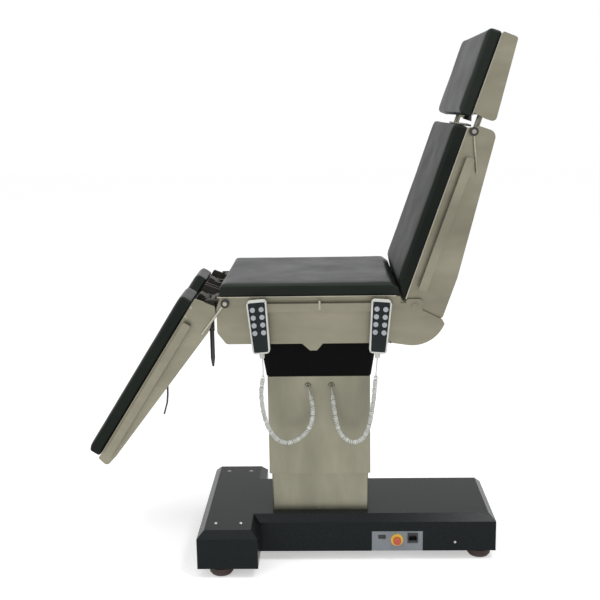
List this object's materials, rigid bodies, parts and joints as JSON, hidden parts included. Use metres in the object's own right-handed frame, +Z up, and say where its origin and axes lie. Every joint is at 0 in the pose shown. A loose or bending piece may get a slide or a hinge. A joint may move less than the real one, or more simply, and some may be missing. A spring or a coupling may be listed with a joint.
{
  "type": "operating table",
  "caption": "Operating table on a T-shaped base with lowering feet: telescopic column, two-way tilting seat, raised back with head plate, split dropped legs, rail-hung handsets.",
  "frame": {"origin": "on the floor, on the axis of the column, in the table's plane of symmetry", "axes": "+Z up, +X towards the head end, +Y towards the patient's right side, away from the handsets"},
  "size_m": [1.295, 0.6135, 1.6727],
  "materials": {
    "base_paint": "textured matt",
    "cover_steel": "brushed",
    "frame_steel": "satin",
    "bright_steel": "polished",
    "dark_paint": "satin",
    "shroud_black": "matt",
    "cushion_black": "soft coated fabric, satin",
    "sole_rubber": "matt",
    "wheel_rubber": "matt",
    "panel_grey": "satin",
    "button_red": "gloss",
    "switch_black": "gloss",
    "pump_metal": "painted",
    "handset_grey": "matt",
    "key_grey": "satin",
    "cord_grey": "satin",
    "lever_black": "satin"
  },
  "bodies": {
    "base": {"base_frame": "frame_steel", "base_cover": "base_paint", "base_cover_screws": "bright_steel", "control_panel": "panel_grey", "power_pack": "pump_metal", "lower_column_cover": "cover_steel"},
    "feet": {"lock_feet": "sole_rubber"},
    "rear_wheels": {"fixed_wheels": "wheel_rubber"},
    "castor_left": {"castor_fork_left": "frame_steel"},
    "castor_right": {"castor_fork_right": "frame_steel"},
    "castor_left_wheel": {"castor_wheel_left": "wheel_rubber"},
    "castor_right_wheel": {"castor_wheel_right": "wheel_rubber"},
    "emergency_button": {"estop_button": "button_red"},
    "switch_rocker": {"power_switch": "switch_black"},
    "lift_column": {"upper_column_cover": "cover_steel", "lift_mast": "frame_steel", "column_head_shroud": "shroud_black", "foot_handset_cord": "cord_grey", "head_handset_cord": "cord_grey"},
    "cradle": {"tilt_cradle": "frame_steel"},
    "seat": {"seat_frame": "frame_steel", "seat_side_plates": "cover_steel", "seat_cushion": "cushion_black", "leg_bracket_left": "bright_steel", "leg_bracket_right": "bright_steel", "foot_handset": "handset_grey", "head_handset": "handset_grey"},
    "back": {"back_frame": "cover_steel", "back_cushion": "cushion_black", "head_mount": "bright_steel"},
    "head": {"head_frame": "cover_steel", "head_cushion": "cushion_black"},
    "head_clamp_left": {"head_clamp_lever_left": "bright_steel"},
    "head_clamp_right": {"head_clamp_lever_right": "bright_steel"},
    "leg_left": {"leg_frame_left": "cover_steel", "leg_cushion_left": "cushion_black"},
    "leg_right": {"leg_frame_right": "cover_steel", "leg_cushion_right": "cushion_black"},
    "leg_release": {"leg_release_lever": "bright_steel"},
    "leg_clamp_left": {"leg_clamp_lever_left": "bright_steel"},
    "leg_clamp_right": {"leg_clamp_lever_right": "bright_steel"},
    "leg_lock_left": {"leg_lock_handle_left": "bright_steel"},
    "leg_lock_right": {"leg_lock_handle_right": "bright_steel"},
    "foot_key_1": {"foot_handset_key_1": "key_grey"},
    "foot_key_2": {"foot_handset_key_2": "key_grey"},
    "foot_key_3": {"foot_handset_key_3": "key_grey"},
    "foot_key_4": {"foot_handset_key_4": "key_grey"},
    "foot_key_5": {"foot_handset_key_5": "key_grey"},
    "foot_key_6": {"foot_handset_key_6": "key_grey"},
    "foot_key_7": {"foot_handset_key_7": "key_grey"},
    "foot_key_8": {"foot_handset_key_8": "key_grey"},
    "head_key_1": {"head_handset_key_1": "key_grey"},
    "head_key_2": {"head_handset_key_2": "key_grey"},
    "head_key_3": {"head_handset_key_3": "key_grey"},
    "head_key_4": {"head_handset_key_4": "key_grey"},
    "head_key_5": {"head_handset_key_5": "key_grey"},
    "head_key_6": {"head_handset_key_6": "key_grey"},
    "head_key_7": {"head_handset_key_7": "key_grey"},
    "head_key_8": {"head_handset_key_8": "key_grey"}
  },
  "joints": [
    {"name": "feet_slide", "type": "slide", "parent": "base", "child": "feet", "axis": [0, 0, 1], "range_m": [0, 0.012]},
    {"name": "rear_axle", "type": "hinge", "parent": "base", "child": "rear_wheels", "pos_m": [-0.293, 0, 0.0515], "axis": [0, 1, 0], "continuous": true},
    {"name": "castor_left_swivel", "type": "hinge", "parent": "base", "child": "castor_left", "pos_m": [0.41, -0.08, 0.12], "axis": [0, 0, 1], "continuous": true},
    {"name": "castor_left_axle", "type": "hinge", "parent": "castor_left", "child": "castor_left_wheel", "pos_m": [0.388, -0.08, 0.0515], "axis": [0, 1, 0], "continuous": true},
    {"name": "castor_right_swivel", "type": "hinge", "parent": "base", "child": "castor_right", "pos_m": [0.41, 0.08, 0.12], "axis": [0, 0, 1], "continuous": true},
    {"name": "castor_right_axle", "type": "hinge", "parent": "castor_right", "child": "castor_right_wheel", "pos_m": [0.388, 0.08, 0.0515], "axis": [0, 1, 0], "continuous": true},
    {"name": "emergency_press", "type": "slide", "parent": "base", "child": "emergency_button", "axis": [0, 1, 0], "range_m": [0, 0.004], "stiffness_N_per_m": 2500},
    {"name": "switch_rock", "type": "hinge", "parent": "base", "child": "switch_rocker", "pos_m": [0.199, -0.164, 0.0835], "axis": [0, 0, 1], "range_deg": [0, 12]},
    {"name": "column_lift", "type": "slide", "parent": "base", "child": "lift_column", "axis": [0, 0, 1], "range_m": [-0.12, 0.17]},
    {"name": "end_tilt", "type": "hinge", "parent": "lift_column", "child": "cradle", "pos_m": [-0.016, 0, 0.765], "axis": [0, 1, 0], "range_deg": [-25, 25], "deforming": ["foot_handset_cord", "head_handset_cord"]},
    {"name": "side_tilt", "type": "hinge", "parent": "cradle", "child": "seat", "pos_m": [-0.016, 0, 0.812], "axis": [1, 0, 0], "range_deg": [-15, 15], "deforming": ["foot_handset_cord", "head_handset_cord"]},
    {"name": "back_hinge", "type": "hinge", "parent": "seat", "child": "back", "pos_m": [0.2915, 0, 0.8685], "axis": [0, 1, 0], "range_deg": [0, 80]},
    {"name": "head_hinge", "type": "hinge", "parent": "back", "child": "head", "pos_m": [0.48644, 0, 1.4402], "axis": [0, 1, 0], "range_deg": [-20, 45]},
    {"name": "head_clamp_left_turn", "type": "hinge", "parent": "back", "child": "head_clamp_left", "pos_m": [0.4583, -0.2625, 1.38119], "axis": [0, -1, 0], "range_deg": [0, 60]},
    {"name": "leg_left_hinge", "type": "hinge", "parent": "seat", "child": "leg_left", "pos_m": [-0.349, -0.14, 0.8685], "axis": [0, -1, 0], "range_deg": [-72, 20]},
    {"name": "leg_clamp_left_turn", "type": "hinge", "parent": "seat", "child": "leg_clamp_left", "pos_m": [-0.2774, -0.2725, 0.8837], "axis": [0, -1, 0], "range_deg": [0, 60]},
    {"name": "leg_lock_left_swing", "type": "hinge", "parent": "seat", "child": "leg_lock_left", "pos_m": [-0.329, -0.19, 0.794], "axis": [0, 1, 0], "range_deg": [0, 25]},
    {"name": "head_clamp_right_turn", "type": "hinge", "parent": "back", "child": "head_clamp_right", "pos_m": [0.4583, 0.2625, 1.38119], "axis": [0, -1, 0], "range_deg": [0, 60]},
    {"name": "leg_right_hinge", "type": "hinge", "parent": "seat", "child": "leg_right", "pos_m": [-0.349, 0.14, 0.8685], "axis": [0, -1, 0], "range_deg": [-72, 20]},
    {"name": "leg_clamp_right_turn", "type": "hinge", "parent": "seat", "child": "leg_clamp_right", "pos_m": [-0.2774, 0.2725, 0.8837], "axis": [0, -1, 0], "range_deg": [0, 60]},
    {"name": "leg_lock_right_swing", "type": "hinge", "parent": "seat", "child": "leg_lock_right", "pos_m": [-0.329, 0.19, 0.794], "axis": [0, 1, 0], "range_deg": [0, 25]},
    {"name": "leg_release_squeeze", "type": "hinge", "parent": "leg_left", "child": "leg_release", "pos_m": [-0.473, -0.2, 0.636], "axis": [0, 1, 0], "range_deg": [0, 20]},
    {"name": "foot_key_1_press", "type": "slide", "parent": "seat", "child": "foot_key_1", "axis": [0, 1, 0], "range_m": [0, 0.001], "stiffness_N_per_m": 1200},
    {"name": "foot_key_2_press", "type": "slide", "parent": "seat", "child": "foot_key_2", "axis": [0, 1, 0], "range_m": [0, 0.001], "stiffness_N_per_m": 1200},
    {"name": "foot_key_3_press", "type": "slide", "parent": "seat", "child": "foot_key_3", "axis": [0, 1, 0], "range_m": [0, 0.001], "stiffness_N_per_m": 1200},
    {"name": "foot_key_4_press", "type": "slide", "parent": "seat", "child": "foot_key_4", "axis": [0, 1, 0], "range_m": [0, 0.001], "stiffness_N_per_m": 1200},
    {"name": "foot_key_5_press", "type": "slide", "parent": "seat", "child": "foot_key_5", "axis": [0, 1, 0], "range_m": [0, 0.001], "stiffness_N_per_m": 1200},
    {"name": "foot_key_6_press", "type": "slide", "parent": "seat", "child": "foot_key_6", "axis": [0, 1, 0], "range_m": [0, 0.001], "stiffness_N_per_m": 1200},
    {"name": "foot_key_7_press", "type": "slide", "parent": "seat", "child": "foot_key_7", "axis": [0, 1, 0], "range_m": [0, 0.001], "stiffness_N_per_m": 1200},
    {"name": "foot_key_8_press", "type": "slide", "parent": "seat", "child": "foot_key_8", "axis": [0, 1, 0], "range_m": [0, 0.001], "stiffness_N_per_m": 1200},
    {"name": "head_key_1_press", "type": "slide", "parent": "seat", "child": "head_key_1", "axis": [0, 1, 0], "range_m": [0, 0.001], "stiffness_N_per_m": 1200},
    {"name": "head_key_2_press", "type": "slide", "parent": "seat", "child": "head_key_2", "axis": [0, 1, 0], "range_m": [0, 0.001], "stiffness_N_per_m": 1200},
    {"name": "head_key_3_press", "type": "slide", "parent": "seat", "child": "head_key_3", "axis": [0, 1, 0], "range_m": [0, 0.001], "stiffness_N_per_m": 1200},
    {"name": "head_key_4_press", "type": "slide", "parent": "seat", "child": "head_key_4", "axis": [0, 1, 0], "range_m": [0, 0.001], "stiffness_N_per_m": 1200},
    {"name": "head_key_5_press", "type": "slide", "parent": "seat", "child": "head_key_5", "axis": [0, 1, 0], "range_m": [0, 0.001], "stiffness_N_per_m": 1200},
    {"name": "head_key_6_press", "type": "slide", "parent": "seat", "child": "head_key_6", "axis": [0, 1, 0], "range_m": [0, 0.001], "stiffness_N_per_m": 1200},
    {"name": "head_key_7_press", "type": "slide", "parent": "seat", "child": "head_key_7", "axis": [0, 1, 0], "range_m": [0, 0.001], "stiffness_N_per_m": 1200},
    {"name": "head_key_8_press", "type": "slide", "parent": "seat", "child": "head_key_8", "axis": [0, 1, 0], "range_m": [0, 0.001], "stiffness_N_per_m": 1200}
  ]
}
